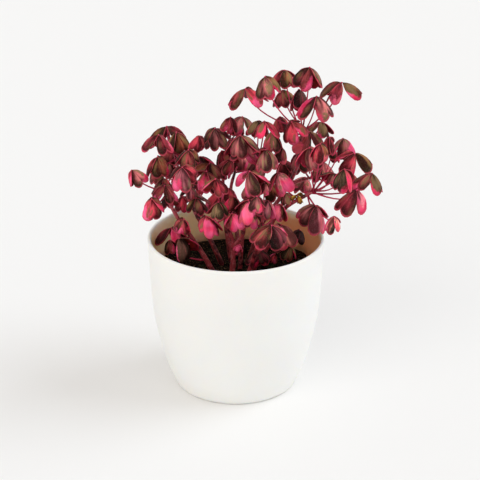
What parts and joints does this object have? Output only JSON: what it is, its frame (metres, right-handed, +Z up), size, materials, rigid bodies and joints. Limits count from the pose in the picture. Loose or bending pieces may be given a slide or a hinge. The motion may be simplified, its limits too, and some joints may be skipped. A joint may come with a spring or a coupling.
{
  "type": "potted volcanic sorrel",
  "caption": "Leafy sorrel with drooping heart-cut leaflets in threes, on fleshy rooted stems, in a round flared pot filled with soil.",
  "frame": {"origin": "centre of the pot's flat foot, on the surface that it stands on", "axes": "+Z up along the pot's axis; the picture looks along +Y, so -Y is the front and +X its right; the crown leans a little to +X"},
  "size_m": [0.1914, 0.1397, 0.255],
  "materials": {
    "pot": "matt moulded, warm white",
    "soil": "moist crumbly peat compost",
    "foliage": "velvety burgundy leaf and fleshy stem"
  },
  "bodies": {
    "root": {"pot": "pot", "soil": "soil", "stem_left_low": "foliage", "stem_left_tall": "foliage", "stem_middle_back": "foliage", "stem_middle_front": "foliage", "stem_middle_tall": "foliage", "stem_right_tall": "foliage", "stem_right_low": "foliage", "stem_front": "foliage", "stem_back": "foliage"}
  },
  "joints": []
}
